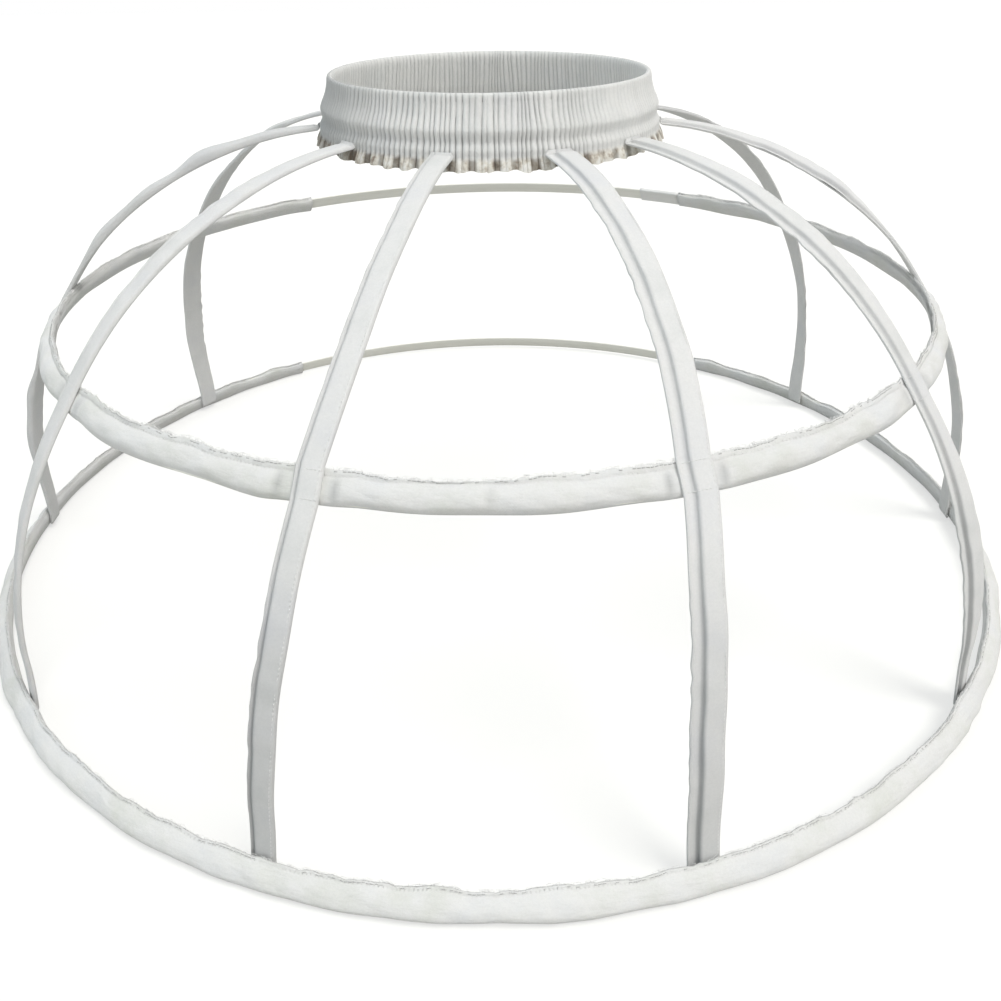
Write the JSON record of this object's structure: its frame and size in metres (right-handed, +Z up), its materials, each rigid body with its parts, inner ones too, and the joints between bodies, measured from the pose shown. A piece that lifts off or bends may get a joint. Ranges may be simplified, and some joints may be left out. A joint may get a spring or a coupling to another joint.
{
  "type": "crinoline cage",
  "caption": "Dome-shaped crinoline cage with a gathered elastic waistband, boned tape ribs open at the back, and an upper and a hem hoop of flat bone in cloth casings.",
  "frame": {"origin": "centre of the hem hoop on the floor that the cage stands on", "axes": "+Z up along the wearer's waist, -Y to the wearer's front, +X to the right seen from the front"},
  "size_m": [0.8034, 0.8024, 0.368],
  "materials": {
    "gathered_cloth": "gathered woven cloth",
    "elastic": "woven elastic",
    "casing_cloth": "brushed woven cloth",
    "boning": "satin",
    "joiner": "satin",
    "rib_tape": "woven tape"
  },
  "bodies": {
    "root": {"waistband_casing": "gathered_cloth", "waist_elastic": "elastic", "upper_hoop_casing": "casing_cloth", "upper_hoop_bone": "boning", "upper_hoop_joiner": "joiner", "hem_hoop_casing": "casing_cloth", "hem_hoop_bone": "boning", "hem_hoop_joiner": "joiner", "front_right_rib_tape": "rib_tape", "front_right_rib_bone": "boning", "front_left_rib_tape": "rib_tape", "front_left_rib_bone": "boning", "right_front_rib_tape": "rib_tape", "right_front_rib_bone": "boning", "left_front_rib_tape": "rib_tape", "left_front_rib_bone": "boning", "right_side_rib_tape": "rib_tape", "right_side_rib_bone": "boning", "left_side_rib_tape": "rib_tape", "left_side_rib_bone": "boning", "right_back_rib_tape": "rib_tape", "right_back_rib_bone": "boning", "left_back_rib_tape": "rib_tape", "left_back_rib_bone": "boning"}
  },
  "joints": []
}
